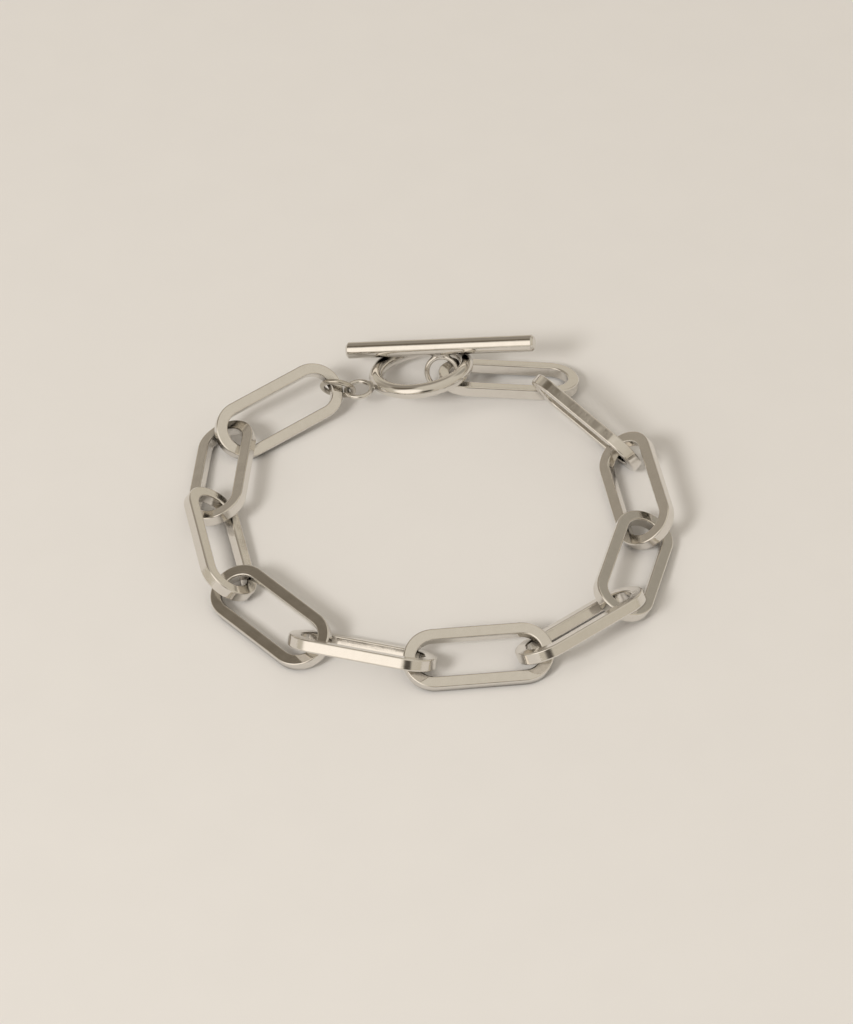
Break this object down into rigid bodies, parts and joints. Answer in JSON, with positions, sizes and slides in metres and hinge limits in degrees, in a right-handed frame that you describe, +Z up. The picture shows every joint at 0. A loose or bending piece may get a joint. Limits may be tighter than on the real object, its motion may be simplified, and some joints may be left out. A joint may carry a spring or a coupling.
{
  "type": "link bracelet",
  "caption": "Link bracelet of long oval links bent from square steel wire, closed with a bar through a ring and lying in a loop on a surface.",
  "frame": {"origin": "on the surface the bracelet rests on, under the middle of the box round the whole loop", "axes": "+Z up, away from the surface; +Y from the middle of the loop towards the clasp; +X along the toggle bar, towards its right end"},
  "size_m": [0.0616, 0.0606, 0.0096],
  "materials": {
    "link_steel": "polished",
    "clasp_steel": "polished",
    "ring_steel": "polished"
  },
  "bodies": {
    "root": {"link_1": "link_steel", "link_2": "link_steel", "link_3": "link_steel", "link_4": "link_steel", "link_5": "link_steel", "link_6": "link_steel", "link_7": "link_steel", "link_8": "link_steel", "link_9": "link_steel", "link_10": "link_steel", "link_11": "link_steel", "jump_ring": "ring_steel", "toggle_ring": "clasp_steel", "toggle_bar": "clasp_steel"}
  },
  "joints": []
}
